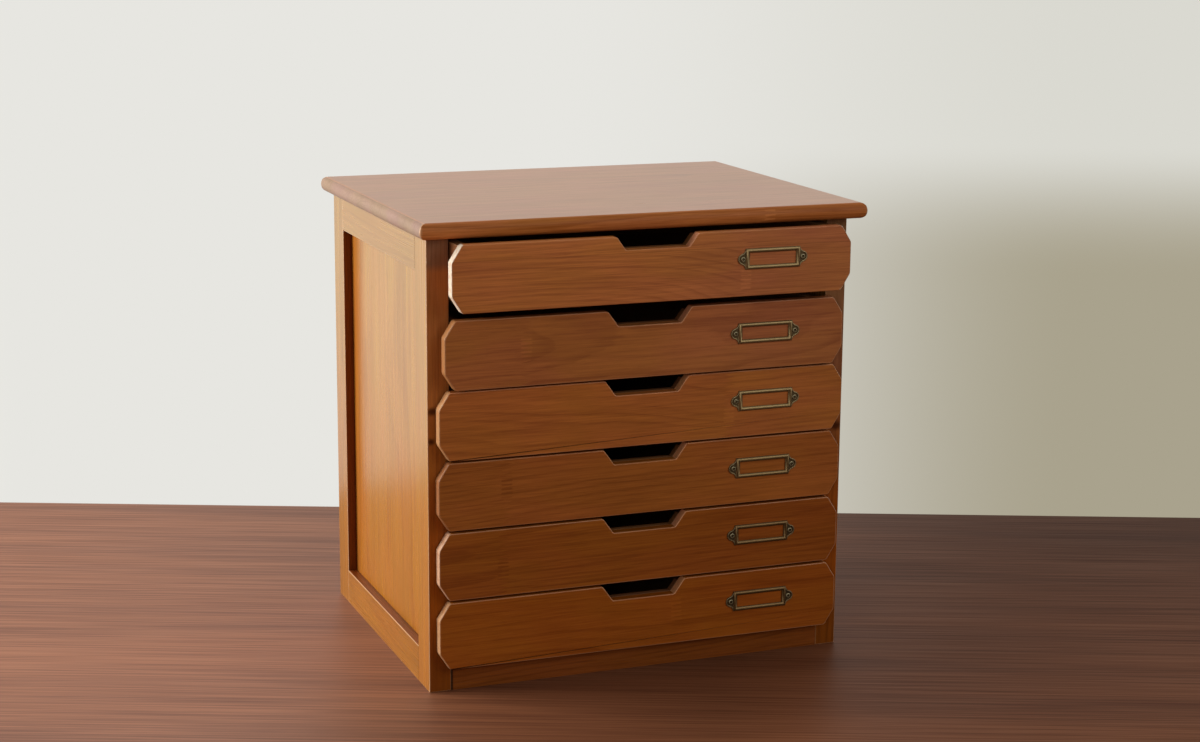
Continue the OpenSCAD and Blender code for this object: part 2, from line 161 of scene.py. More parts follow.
def make_figure_group():
    """The figure of solid wood. Point is in millimetres with X along the grain. The pith is a line
    that runs along X at Pith and leans by Lean, and the growth rings are cylinders about it. Fibre is
    the width of the finest streaks."""
    group, tree, given, result = new_group(
        "wood_figure",
        [("Point", VECTOR, ORIGIN), ("Pith", VECTOR, ORIGIN), ("Lean", VECTOR, ORIGIN),
         ("Ring", VALUE, 3.0), ("Fibre", VALUE, 1.2), ("Seed", VALUE, 0.0)],
        [("Rings", VALUE), ("Streaks", VALUE), ("Pores", VALUE), ("Drift", VALUE), ("Blush", VALUE)])
    # Scales of the noises, in cycles per millimetre along the grain and then across it.
    swing_scale, waver_scale = (0.005, 0.018, 0.018), (0.02, 0.12, 0.12)
    broad_scale, strand_scale = (0.005, 0.11, 0.11), (0.026, 1, 1)
    pore_scale = (0.11, 2.4, 2.4)
    drift_scale, blush_scale = (0.006, 0.022, 0.022), (0.011, 0.03, 0.03)
    # How far the rings stray from their cylinders, in millimetres.
    swing_reach, waver_reach = 16.0, 2.0
    # A seed moves the noises by seed_step millimetres along the grain, and seed_slant times as far across.
    seed_step, seed_slant = 37.0, 7.3

    seed = tree.joined(given["Seed"], tree.math("MULTIPLY", given["Seed"], seed_slant), 0)
    point = tree.vector("ADD", given["Point"], tree.vector("SCALE", seed, scale=seed_step))

    along = tree.parts(given["Point"])[0]
    centre = tree.vector("ADD", given["Pith"], tree.vector("SCALE", given["Lean"], scale=along))
    from_pith = tree.vector("SUBTRACT", given["Point"], centre)
    from_pith = tree.vector("ADD", from_pith, tree.wobble(point, swing_scale, 1, swing_reach))
    from_pith = tree.vector("ADD", from_pith, tree.wobble(point, waver_scale, 2, waver_reach))
    radius = tree.vector("LENGTH", tree.vector("MULTIPLY", from_pith, (0, 1, 1)))
    count = tree.math("DIVIDE", radius, given["Ring"])
    age = tree.math("FRACT", count)
    late = tree.math("MULTIPLY", tree.ramp(age, 0.45, 0.9), tree.ramp(age, 1.0, 0.93))
    year = tree.random(tree.math("FLOOR", count))["Value"]
    tree.feed(result["Rings"], tree.math("MULTIPLY", late, tree.ramp(year, 0.0, 1.0, 0.25, 1.0)))

    broad = tree.noise(point, broad_scale, 2)
    strand = tree.vector("SCALE", strand_scale, scale=tree.math("DIVIDE", 1, given["Fibre"]))
    fine = tree.noise(point, strand, 2, 0.65)
    tree.feed(result["Streaks"], tree.math("MULTIPLY_ADD", broad, 0.25, tree.math("MULTIPLY", fine, 0.75)))
    tree.feed(result["Pores"], tree.ramp(tree.noise(point, pore_scale, 1), 0.64, 0.74))
    tree.feed(result["Drift"], tree.noise(point, drift_scale, 2))
    tree.feed(result["Blush"], tree.ramp(tree.noise(point, blush_scale, 2), 0.35, 0.65))
    return group


def make_joint_group():
    """Boards glued up from blocks, finger-jointed at Joint along the board. Above Strip lies another
    strip of wood. The block at the lower left is the Main one; the others get a Shift, which moves
    their figure, and every block has its own Tone. Fingers marks the joint's tips near Middle."""
    group, tree, given, result = new_group(
        "glued_blocks",
        [("Point", VECTOR, ORIGIN), ("Strip", VALUE, 400.0), ("Joint", VALUE, 400.0),
         ("Middle", VALUE, 25.0), ("Seed", VALUE, 0.0)],
        [("Main", VALUE), ("Shift", VECTOR), ("Tone", VALUE), ("Fingers", VALUE), ("Seam", VALUE)])
    finger_pitch, finger_length = 3.4, 9.0
    rows_end, rows_fade = 10, 6
    shift_reach = 300.0

    u, _, v = tree.parts(given["Point"])
    high = tree.math("GREATER_THAN", v, given["Strip"])
    saw = tree.math("FRACT", tree.math("DIVIDE", v, finger_pitch))
    tooth = tree.math("ABSOLUTE", tree.math("SUBTRACT", saw, 0.5))
    from_joint = tree.math("SUBTRACT", u, given["Joint"])
    reach = tree.math("MULTIPLY_ADD", tooth, 2 * finger_length, -finger_length / 2)
    past = tree.math("GREATER_THAN", from_joint, reach)
    block = tree.math("MULTIPLY_ADD", high, 2, past)
    tree.feed(result["Main"], tree.math("LESS_THAN", block, 0.5))
    pick = tree.random(tree.math("ADD", block, given["Seed"]))
    tree.feed(result["Shift"], tree.vector("SCALE", pick["Color"], scale=shift_reach))
    tree.feed(result["Tone"], pick["Value"])
    tips = tree.ramp(tree.math("ABSOLUTE", from_joint), finger_length / 2 + 1, finger_length / 2 - 1)
    rows = tree.math("MULTIPLY", tips, tree.ramp(tooth, 0.22, 0.34))
    from_middle = tree.math("ABSOLUTE", tree.math("SUBTRACT", v, given["Middle"]))
    tree.feed(result["Fingers"], tree.math("MULTIPLY", rows, tree.ramp(from_middle, rows_end, rows_fade)))
    from_strip = tree.math("ABSOLUTE", tree.math("SUBTRACT", v, given["Strip"]))
    tree.feed(result["Seam"], tree.ramp(from_strip, 0.5, 0.1))
    return group


def make_knot_group():
    """The mask of one knot: an oval at Centre, Size across and half as much again along X."""
    group, tree, given, result = new_group(
        "knot",
        [("Point", VECTOR, ORIGIN), ("Centre", VECTOR, ORIGIN), ("Size", VALUE, 3.0)],
        [("Mask", VALUE)])
    oval, rough_scale, rough_reach = (0.7, 1, 1), (0.25, 0.25, 0.25), 2.0
    offset = tree.vector("SUBTRACT", given["Point"], given["Centre"])
    rough = tree.noise(given["Point"], rough_scale, 2)
    distance = tree.vector("LENGTH", tree.vector("MULTIPLY", offset, oval))
    distance = tree.math("MULTIPLY_ADD", rough, rough_reach, distance)
    distance = tree.math("DIVIDE", distance, given["Size"])
    tree.feed(result["Mask"], tree.ramp(distance, 1.4, 0.3))
    return group


def make_fade_group():
    """A slow change of colour over the chest, mostly painted light and shade and once a dark seam: Light
    and Dark at Start become Far light and Far dark at End. At is the place along the change."""
    group, tree, given, result = new_group(
        "stain_and_painted_shade_fade",
        [("At", VALUE, 0.0), ("Start", VALUE, 0.0), ("End", VALUE, 1.0), ("Light", COLOUR, WHITE),
         ("Dark", COLOUR, BLACK), ("Far light", COLOUR, WHITE), ("Far dark", COLOUR, BLACK)],
        [("Light", COLOUR), ("Dark", COLOUR)])
    share = tree.ramp(given["At"], given["Start"], given["End"])
    tree.feed(result["Light"], tree.mix(share, given["Light"], given["Far light"]))
    tree.feed(result["Dark"], tree.mix(share, given["Dark"], given["Far dark"]))
    return group


def make_wear_group():
    """Stain rubbed off the arrises. Arris is 0 on faces and up to 1 on the ends. Wear comes back patchy
    along the grain, and Worn goes from Rim on lightly rubbed arrises to Bare on the others."""
    group, tree, given, result = new_group(
        "rubbed_arris",
        [("Point", VECTOR, ORIGIN), ("Arris", VALUE, 0.0), ("Wear", VALUE, 0.85), ("Rim", COLOUR, WHITE),
         ("Bare", COLOUR, WHITE)],
        [("Wear", VALUE), ("Worn", COLOUR)])
    patches = tree.ramp(tree.noise(given["Point"], (0.03, 0.3, 0.3), 2), 0.3, 0.6, 0.65, 1.0)
    rubbed = tree.math("MULTIPLY", given["Arris"], given["Wear"])
    tree.feed(result["Wear"], tree.math("MULTIPLY", rubbed, patches))
    tree.feed(result["Worn"], tree.mix(tree.ramp(given["Arris"], 0.5, 0.9), given["Rim"], given["Bare"]))
    return group


def make_stain_group():
    """Stain over wood: the colour, the roughness of the varnish and the relief of the grain. The stain
    runs from Light to Dark along the grain, and from a redder to a more golden shade with Blush."""
    group, tree, given, result = new_group(
        "stain",
        [("Light", COLOUR, WHITE), ("Dark", COLOUR, BLACK), ("Worn", COLOUR, WHITE),
         ("Rings", VALUE, 0.0), ("Streaks", VALUE, 0.5), ("Pores", VALUE, 0.0), ("Drift", VALUE, 0.5),
         ("Blush", VALUE, 0.5), ("Tone", VALUE, 0.5), ("Fingers", VALUE, 0.0), ("Seam", VALUE, 0.0),
         ("Knots", VALUE, 0.0), ("Wear", VALUE, 0.0), ("Gloss", VALUE, 0.35)],
        [("Color", COLOUR), ("Roughness", VALUE), ("Height", VALUE)])
    redder, golden, charred = (1.015, 0.98, 1.08, 1), (0.985, 1.02, 0.92, 1), (0.25, 0.2, 0.2, 1)
    # How strongly each part of the figure deepens the stain, from its least depth, or marks it.
    least_depth = -1.25
    depths = {"Streaks": 2.4, "Rings": 0.4, "Drift": 0.7, "Tone": 0.2}
    pore_mark, seam_mark, knot_mark = 0.2, 0.25, 0.95

    depth = least_depth
    for part, share in depths.items():
        depth = tree.math("MULTIPLY_ADD", given[part], share, depth)
    depth = tree.math("ADD", given["Fingers"], depth, clamp=True)
    colour = tree.mix(depth, given["Light"], given["Dark"])
    colour = tree.mix(1.0, colour, tree.mix(given["Blush"], redder, golden), "MULTIPLY")
    marks = tree.math("MULTIPLY", given["Seam"], seam_mark)
    marks = tree.math("MULTIPLY_ADD", given["Pores"], pore_mark, marks)
    marks = tree.math("MULTIPLY_ADD", given["Knots"], knot_mark, marks, clamp=True)
    colour = tree.mix(marks, colour, tree.mix(1.0, given["Dark"], charred, "MULTIPLY"))
    tree.feed(result["Color"], tree.mix(given["Wear"], colour, given["Worn"]))
    tree.feed(result["Roughness"], tree.math("MULTIPLY_ADD", given["Streaks"], 0.12, given["Gloss"]))
    tree.feed(result["Height"], tree.math("MULTIPLY_ADD", given["Pores"], -0.8, given["Streaks"]))
    return group


figure_group = make_figure_group()
joint_group = make_joint_group()
knot_group = make_knot_group()
fade_group = make_fade_group()
wear_group = make_wear_group()
stain_group = make_stain_group()

# ---- materials ------------------------------------------------------------------------------------

# The bare wood that shows where an arris is rubbed.
BARE = linear("#c59a70")
# The pith of every block of a glued-up board but the main one.
PLAIN_PITH, PLAIN_LEAN = (0, 150, 260), (0, 0.02, 0.01)
RELIEF = 0.05 * MM    # the depth of the grain and of the brass's mottle


def new_material(name):
    """A material with an empty Principled BSDF: the material, its Tree and the shader's inputs."""
    material = bpy.data.materials.new(name)
    material.use_nodes = True
    return material, Tree(material.node_tree), material.node_tree.nodes["Principled BSDF"].inputs


def wood(name, stains, grain="X", origin=ORIGIN, pith=(0, 90, 140), lean=(0, 0.02, 0.02), ring=3.2,
         fibre=1.2, seed=0.0, joints=None, fingers_depth=-0.5, knots=(), fades=(), bare=BARE, rim=None,
         wear=0.85, gloss=0.22, shine=0.5):
    """Stained and varnished wood. Millimetres, measured from origin, with pith's X along the grain.
    joints places the strips and finger joints of a glued-up board, and fingers_depth is how much darker
    than the wood about them the fingers come out, or paler below zero. knots lists each knot's centre
    and size. fades lists changes of colour across the chest, mostly painted light and shade: the axis,
    where the change starts and ends in metres, and the stain at its end. bare is the colour of rubbed
    wood and rim that of lightly rubbed arrises, where it is another; on the fronts both are also paler
    as painted light. gloss is the varnish's least roughness, and shine its specular level."""
    material, tree, shader = new_material(name)
    light, dark = stains
    place = tree.add("TexCoord").outputs["Object"]
    local = tree.vector("SUBTRACT", tree.vector("SCALE", place, scale=1 / MM), origin)
    point, tone, fingers, seam = local, 0.5, 0.0, 0.0
    if joints:
        blocks = tree.use(joint_group, point=local, seed=seed, **joints)
        other = tree.math("SUBTRACT", 1, blocks["Main"])
        point = tree.vector("ADD", local, tree.vector("SCALE", blocks["Shift"], scale=other))
        pith = tree.between(blocks["Main"], PLAIN_PITH, pith)
        lean = tree.between(blocks["Main"], PLAIN_LEAN, lean)
        tone, seam = blocks["Tone"], blocks["Seam"]
        fingers = tree.math("MULTIPLY", blocks["Fingers"], fingers_depth)
    x, y, z = tree.parts(point)
    point = tree.joined(*{"X": (x, y, z), "Y": (y, x, z), "Z": (z, x, y)}[grain])
    figure = tree.use(figure_group, point=point, pith=pith, lean=lean, ring=ring, fibre=fibre, seed=seed)
    knotted = 0.0
    for centre, size in knots:
        mask = tree.use(knot_group, point=local, centre=centre, size=size)["Mask"]
        knotted = tree.math("MAXIMUM", mask, knotted)
    for axis, start, end, (far_light, far_dark) in fades:
        fade = tree.use(fade_group, at=tree.parts(place)["XYZ".index(axis)], start=start, end=end,
                        light=light, dark=dark, far_light=far_light, far_dark=far_dark)
        light, dark = fade["Light"], fade["Dark"]
    arris = tree.add("Attribute", attribute_name="arris").outputs["Fac"]
    rubbed = tree.use(wear_group, point=point, arris=arris, wear=wear, rim=rim or bare, bare=bare)
    look = tree.use(stain_group, light=light, dark=dark, worn=rubbed["Worn"], wear=rubbed["Wear"],
                    rings=figure["Rings"], streaks=figure["Streaks"], pores=figure["Pores"],
                    drift=figure["Drift"], blush=figure["Blush"], tone=tone, fingers=fingers, seam=seam,
                    knots=knotted, gloss=gloss)
    tree.feed(shader["Base Color"], look["Color"])
    tree.feed(shader["Roughness"], look["Roughness"])
    bump = tree.add("Bump", {"Height": look["Height"], "Strength": 0.25, "Distance": RELIEF})
    tree.feed(shader["Normal"], bump.outputs["Normal"])
    tree.feed(shader["Specular IOR Level"], shine)
    return material


# The colour of each front on its left, and on its right. It is the front's stain, but the lower
# drawers are partly made darker as painted shade, and the change from left to right is painted light.
front_stain_and_painted_shade = {
    1: stain("#cd7e3f", "#a55f2f"),
    2: stain("#b46d36", "#915128"),
    3: stain("#be7031", "#985422"),
    4: stain("#ac6228", "#874818"),
    5: stain("#a35b1c", "#83420f"),
    6: stain("#a75a16", "#874208"),
}
front_right_painted_light = {
    1: stain("#c37845", "#9d5a34"),
    2: stain("#b46e3e", "#91522e"),
    3: stain("#b86e33", "#955326"),
    4: stain("#af652a", "#8a4b19"),
    5: stain("#9a5219", "#7d3c0d"),
    6: stain("#a15515", "#823e08"),
}
# How the finger joints take the stain: darker, or paler below zero, than the wood about them.
front_fingers = {1: -0.5, 2: -0.5, 3: -0.5, 4: 0.6, 5: 0.5, 6: -0.5}
# The arrises round each front, paler as light rubbing and as a painted highlight, and its two ends,
# paler as thin stain and as painted light from the left.
front_rims_worn_and_lit = {1: "#c08050", 2: "#dba47a", 3: "#dba47a", 4: "#d49a6c", 5: "#dba47a", 6: "#dba47a"}
front_ends_worn_and_lit = {1: "#e0d8c2", 2: "#94683f", 3: "#ad855b", 4: "#8d603f", 5: "#c8a182", 6: "#b38c66"}
# Where each front's strips and finger joints lie, from the middle of its lower edge.
front_blocks = {
    1: {"strip": 40.0, "joint": 76.0, "middle": 13.0},
    2: {"joint": -104.0, "middle": 32.0},
    3: {"joint": 72.0, "middle": 18.0},
    4: {"joint": -118.0, "middle": 32.0},
    5: {"joint": -121.0, "middle": 22.0},
    6: {"joint": 29.0, "middle": 28.0},
}
front_seeds = {1: 3.1, 2: 6.2, 3: 9.3, 4: 13.7, 5: 15.5, 6: 18.6}
front_knots = {6: [((-77, 0, 36), 2.6), ((-74, 0, 37), 2.0)]}
front_figure = {
    1: {"pith": (0, -38, -30), "lean": (0, -0.25, 0.0), "ring": 4.6},
    2: {"pith": (0, 120, 90), "lean": (0, 0.05, 0.02)},
    3: {"pith": (0, 160, -60), "lean": (0, 0.03, -0.05)},
    4: {"pith": (0, 110, 160), "lean": (0, 0.02, 0.03)},
    5: {"pith": (0, 180, 60), "lean": (0, 0.04, 0.02)},
    6: {"pith": (0, 60, -40), "lean": (0, 0.06, 0.05), "ring": 5.0},
}
# The stretch of a front over which its painted light changes, in metres from the chest's middle.
FRONT_PAINTED_LIGHT_FADE = (-0.05, 0.12)


def front_wood(n):
    """The wood of one drawer front, with its own stain, figure, joints and knots, and its painted light
    and shade.
    """
    low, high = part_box(f"drawer_{n}_front")
    return wood(
        f"front_wood_{n}", front_stain_and_painted_shade[n], origin=[0, high.y / MM, low.z / MM], seed=front_seeds[n],
        joints=front_blocks[n], fingers_depth=front_fingers[n], knots=front_knots.get(n, ()),
        fades=[("X", *FRONT_PAINTED_LIGHT_FADE, front_right_painted_light[n])], bare=linear(front_ends_worn_and_lit[n]),
        rim=linear(front_rims_worn_and_lit[n]), gloss=0.3, shine=0.2, **front_figure[n])


# The sides of the cabinet. Their colour is paler at the top and redder towards the foot: a painted
# sheen, a pale reflection that fades out towards the foot.
SIDE_SHINE = 0.9
SIDE_FIBRE = 3.5
side_stain = stain("#aa782e", "#946322")
side_painted_sheen_fade = ("Z", 0.34, 0.0, stain("#aa6b1a", "#945810"))
rail_stain = stain("#a0722c", "#8b5d20")
rail_painted_sheen_fade = ("Z", 0.34, 0.0, stain("#a16519", "#8b530f"))
# The panels darker beside the rear stile: painted shade and painted reflection of the stile.
panel_rear_painted_shade = ("Y", 0.0725, 0.1175, stain("#ac6820", "#945516"))

side_upright_wood = wood(
    "side_upright_wood", side_stain, grain="Z", pith=(0, 60, 90), seed=1.7, fibre=SIDE_FIBRE,
    fades=[side_painted_sheen_fade], shine=SIDE_SHINE)
side_rail_wood = wood(
    "side_rail_wood", rail_stain, grain="Y", pith=(0, 120, 60), seed=4.4, fibre=SIDE_FIBRE,
    fades=[rail_painted_sheen_fade], shine=SIDE_SHINE)
rear_upright_wood = wood(
    "rear_upright_wood", rail_stain, grain="Z", pith=(0, 60, 90), seed=5.9, fibre=SIDE_FIBRE,
    fades=[rail_painted_sheen_fade], shine=SIDE_SHINE)
side_panel_wood = wood(
    "side_panel_wood", side_stain, grain="Z", pith=(0, 140, 30), ring=5.5, seed=2.9, fibre=SIDE_FIBRE,
    fades=[side_painted_sheen_fade, panel_rear_painted_shade], shine=SIDE_SHINE)
# The rails' upper faces, the ledges in the recess, and the fronts of the rear stiles: darker as painted
# shade.
ledge_painted_shade_wood = wood("ledge_painted_shade_wood", stain("#86461c", "#6c3412"), grain="Y", seed=4.4, wear=0.1, shine=0.2)
recess_painted_shade_wood = wood("recess_painted_shade_wood", stain("#7c3f14", "#612e0b"), grain="Z", seed=1.7, wear=0.1, shine=0.1)

# The fronts of the stiles, the rails between the side frames, and the finger notches. The stiles'
# fronts and the front rail are darker partly as stain and partly as painted shade behind the drawers.
# The stiles' fades are painted shade: the right stile greyer, both darker towards the foot, and greyer
# just under the top board as its painted shadow.
stile_right_painted_shade = ("X", 0.0, 0.1, stain("#9e6d4b", "#825538"))
stile_low_painted_shade = ("Z", 0.33, 0.1, stain("#a25414", "#823f0a"))
stile_foot_painted_shade = ("Z", 0.07, 0.01, stain("#8a4711", "#6e3608"))
stile_top_painted_shadow = ("Z", 0.338, 0.347, stain("#926746", "#795032"))
stile_knots = [((-176, -125, 230), 4.4), ((-177, -125, 206), 3.8), ((175.5, -125, 191), 5.5)]
stile_front_wood = wood(
    "stile_front_wood", stain("#bd7940", "#9f5e2c"), grain="Z", pith=(0, 60, 90), seed=1.7,
    knots=stile_knots, fades=[stile_right_painted_shade, stile_low_painted_shade, stile_foot_painted_shade, stile_top_painted_shadow], wear=0.3, shine=0.1)
rail_seam = ("X", -0.1598, -0.1612, stain("#34180a", "#2a1206"))
front_rail_wood = wood(
    "front_rail_wood", stain("#8c4a1c", "#6e3611"), grain="X", seed=5.2, fades=[rail_seam], wear=0.1,
    shine=0.1)
rear_rail_wood = wood(
    "rear_rail_wood", stain("#9a6a2c", "#855822"), grain="X", seed=6.6, fibre=2.5, wear=0.5, shine=0.3)
# The slanted sides of the finger notches, paler as painted light from the left.
notch_painted_light_wood = wood(
    "notch_painted_light_wood", stain("#e8a170", "#cb8b5e"), grain="X", seed=2.2, wear=0.5, gloss=0.3, shine=0.2)

top_wood = wood(
    "top_wood", stain("#b8763e", "#965a2a"), grain="X", pith=(0, 60, 420), ring=4.0, seed=6.3, gloss=0.24,
    shine=0.9)
top_edge_wood = wood(
    "top_edge_wood", stain("#c67a40", "#9e5826"), grain="X", pith=(0, 60, 420), ring=4.0, seed=6.3,
    joints={"joint": 102.0, "middle": 374.0}, wear=0.4, gloss=0.36, shine=0.08)
top_end_wood = wood(
    "top_end_wood", stain("#977860", "#7d5d49"), grain="X", pith=(0, 20, 300), ring=2.6, seed=3.3,
    gloss=0.4, shine=0.4)

box_wood = wood(
    "box_wood", stain("#7a4e2c", "#623b1f"), grain="X", seed=7.7, wear=0.1, gloss=0.5, shine=0.2)
box_side_wood = wood(
    "box_side_wood", stain("#9a6a42", "#835330"), grain="Y", seed=8.2, wear=0.3, gloss=0.55, shine=0.15)
ply = wood(
    "thin_ply", stain("#a27448", "#8f6038"), grain="X", pith=(0, 30, 12), ring=7.0, seed=9.1, wear=0.2,
    gloss=0.55, shine=0.15)


def make_brass(name, upper, lower, pin_colour, metallic):
    """Antique brass, dark in the hollows and rubbed bright on the ridges by the rubbed attribute. upper
    and lower are the rubbed and the dark colour on the upper and the lower drawers; the lower ones are
    darker partly as painted shade. A rubbed value over one is the brighter metal of a pin's head."""
    lower_drawers, upper_drawers = 0.11, 0.215
    material, tree, shader = new_material(name)
    place = tree.add("TexCoord").outputs["Object"]
    height = tree.ramp(tree.parts(place)[2], lower_drawers, upper_drawers)
    rubbed_colour, patina_colour = (tree.mix(height, a, b) for a, b in zip(lower, upper))
    point = tree.vector("SCALE", place, scale=1 / MM)
    rubbed = tree.add("Attribute", attribute_name="rubbed").outputs["Fac"]
    mottle = tree.noise(point, (0.9, 0.9, 0.9), 3, 0.6)
    bright = tree.ramp(tree.math("MULTIPLY_ADD", mottle, 0.5, rubbed), 0.35, 1.05)
    colour = tree.mix(bright, patina_colour, rubbed_colour)
    tree.feed(shader["Base Color"], tree.mix(tree.ramp(rubbed, 1.1, 1.5), colour, pin_colour))
    tree.feed(shader["Roughness"], tree.ramp(bright, 0.0, 1.0, 0.6, 0.42))
    bump = tree.add("Bump", {"Height": mottle, "Strength": 0.15, "Distance": RELIEF})
    tree.feed(shader["Normal"], bump.outputs["Normal"])
    tree.feed(shader["Metallic"], metallic)
    return material


def make_steel(name, bright_colour, dull_colour):
    """Zinc-plated steel with a faint mottle."""
    material, tree, shader = new_material(name)
    point = tree.vector("SCALE", tree.add("TexCoord").outputs["Object"], scale=1 / MM)
    mottle = tree.ramp(tree.noise(point, (0.7, 0.7, 0.7), 3), 0.3, 0.7)
    tree.feed(shader["Base Color"], tree.mix(mottle, dull_colour, bright_colour))
    tree.feed(shader["Roughness"], tree.ramp(mottle, 0.0, 1.0, 0.4, 0.28))
    tree.feed(shader["Metallic"], 1.0)
    return material


# The brass of the upper and of the lower drawers: the lower is darker partly as painted shade.
UPPER_BRASS = (linear("#7b6743"), linear("#4e3f25"))
LOWER_BRASS = (linear("#5f4828"), linear("#3a2a14"))
brass = make_brass("antique_brass", UPPER_BRASS, LOWER_BRASS, linear("#837a5e"), 0.7)
steel = make_steel("zinc_steel", linear("#b8b6ae"), linear("#8c8a84"))

# ---- wooden pieces --------------------------------------------------------------------------------

# How far the arrises are rounded.
STILE_EASE, RAIL_EASE, PANEL_EASE, STRIP_EASE = 0.7 * MM, 0.6 * MM, 0.3 * MM, 0.4 * MM
BOX_EASE, BOX_BOTTOM_EASE = 0.5 * MM, 0.2 * MM
FRONT_EASE, CLIP_EASE = 0.8 * MM, 1.4 * MM
ARRIS_STEPS = 3
# How rubbed the arrises are: a board's own, a front's two ends, and the rest of a front. On a front it
# also sets how much of the paler colour of painted light they show.
BOARD_WEAR, END_WEAR_AND_LIGHT, RIM_WEAR_AND_LIGHT = 1.0, 1.0, 0.45

WELD = 0.002 * MM
NEAR = 0.01 * MM
FLAT = math.radians(1)
SHARP = math.radians(25)
SMOOTH = math.radians(40)
SHORTEST_RIM = 0.3 * MM
# A face turned this much to one side is slanted, and one turned this much faces that side.
SLANTED, FACING = 0.3, 0.9
# Shares of a front's half width: its ends lie beyond the first, and its notch within the second.
END_SHARE, NOTCH_SHARE = 0.9, 0.5
# The inner arris of a front stile is nearer the chest's middle than this.
INNER_ARRIS = abs(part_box("left_front_stile")[1].x) + 3 * MM


def finish_mesh(name, mesh, materials):
    """Turns a bmesh into an object with smooth arrises and flat faces."""
    data = bpy.data.meshes.new(name)
    mesh.to_mesh(data)
    mesh.free()
    for material in materials:
        data.materials.append(material)
    data.shade_smooth()
    data.set_sharp_from_angle(angle=SMOOTH)
    piece = bpy.data.objects.new(name, data)
    bpy.context.scene.collection.objects.link(piece)
    normals = piece.modifiers.new("flat_faces", "WEIGHTED_NORMAL")
    normals.keep_sharp = True
    return piece


def dress(piece, body, node):
    """Sets a piece on its body in place of the frame's node."""
    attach(piece, body)
    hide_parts(node)


def on_planes(vert, low, high):
    """The faces of the box that a point lies on, as a set of (axis, end)."""
    return {(axis, end) for axis in range(3) for end, corner in enumerate((low, high))
            if abs(vert.co[axis] - corner[axis]) < NEAR}


def shared_planes(edge, low, high):
    """The faces of the box that a whole edge lies on."""
    return on_planes(edge.verts[0], low, high) & on_planes(edge.verts[1], low, high)


def box_arris(edge, low, high):
    """True for an edge along an edge of the piece's own box."""
    return len(shared_planes(edge, low, high)) >= 2


def rim_arris(edge, low, high):
    """True for an edge round the front or the back face, pin holes apart."""
    length = (edge.verts[1].co - edge.verts[0].co).length
    return length > SHORTEST_RIM and bool(shared_planes(edge, low, high) & {(1, 0), (1, 1)})


def runs_through(edge, low, high):
    """True for an edge that runs straight through a board from its front to its back."""
    along = edge.verts[1].co - edge.verts[0].co
    return abs(along.y) > FACING * along.length and along.length > 0.8 * (high.y - low.y)


def clip_corner(edge, low, high):
    """True for the blunt corners at both ends of a drawer front."""
    middle = (low.x + high.x) / 2
    far_out = abs(edge.verts[0].co.x - middle) > END_SHARE * (high.x - middle)
    return runs_through(edge, low, high) and far_out


def round_edges(mesh, radius, is_arris, low, high, wear):
    """Rounds the sharp edges that is_arris picks and marks the new faces with wear."""
    worn = mesh.faces.layers.float["arris"]
    chosen = [e for e in mesh.edges if e.calc_face_angle(0) > SHARP and is_arris(e, low, high)]
    made = bmesh.ops.bevel(mesh, geom=chosen, offset=radius, offset_type="OFFSET", segments=ARRIS_STEPS,
                           profile=0.5, affect="EDGES", clamp_overlap=False, miter_outer="SHARP")
    for face in made["faces"]:
        face[worn] = wear


def clean_copy(node):
    """A bmesh of a node's shape without its triangulation, with a face layer for wear."""
    mesh = bmesh.new()
    mesh.from_mesh(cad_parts[node].data)
    bmesh.ops.remove_doubles(mesh, verts=mesh.verts, dist=WELD)
    bmesh.ops.dissolve_limit(mesh, angle_limit=FLAT, verts=mesh.verts, edges=mesh.edges)
    mesh.faces.layers.float.new("arris")
    return mesh


def soft_copy(node, materials, radius, is_arris=box_arris, choose=None):
    """A piece with a node's shape and its arrises rounded. choose tells if a face takes the second
    material."""
    low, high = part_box(node)
    mesh = clean_copy(node)
    round_edges(mesh, radius, is_arris, low, high, BOARD_WEAR)
    for face in mesh.faces:
        face.material_index = int(choose(face)) if choose else 0
    return finish_mesh("soft_" + node, mesh, materials)


def at_end(face, high):
    """True for a front's left and right ends with their clipped corners."""
    return abs(face.normal.x) > SLANTED and abs(face.calc_center_median().x) > END_SHARE * high.x


def in_notch(face, high):
    """True for the slanted sides of the finger notch."""
    return abs(face.normal.x) > SLANTED and abs(face.calc_center_median().x) < NOTCH_SHARE * high.x


def soft_front(node, material):
    """A drawer front: blunt corners eased, arrises rounded, both ends paler as stain rubbed thin and as
    painted light, and the notch's slanted sides paler as painted light.
    """
    low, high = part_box(node)
    mesh = clean_copy(node)
    worn = mesh.faces.layers.float["arris"]
    for face in mesh.faces:
        if at_end(face, high):
            face[worn] = END_WEAR_AND_LIGHT
    round_edges(mesh, CLIP_EASE, clip_corner, low, high, END_WEAR_AND_LIGHT)
    round_edges(mesh, FRONT_EASE, rim_arris, low, high, RIM_WEAR_AND_LIGHT)
    for face in mesh.faces:
        if face[worn] > 0 and at_end(face, high):
            face[worn] = END_WEAR_AND_LIGHT
        face.material_index = int(in_notch(face, high))
    return finish_mesh("soft_" + node, mesh, [material, notch_painted_light_wood])


def faces_front(face):
    return face.normal.y < -FACING


def faces_up(face):
    return face.normal.z > FACING


def faces_stile_front(face):
    """True for the front of a stile and for its inner arris, which meets the bottom rail."""
    inner = abs(face.calc_center_median().x) < INNER_ARRIS
    return face.normal.y < -0.1 if inner else faces_front(face)


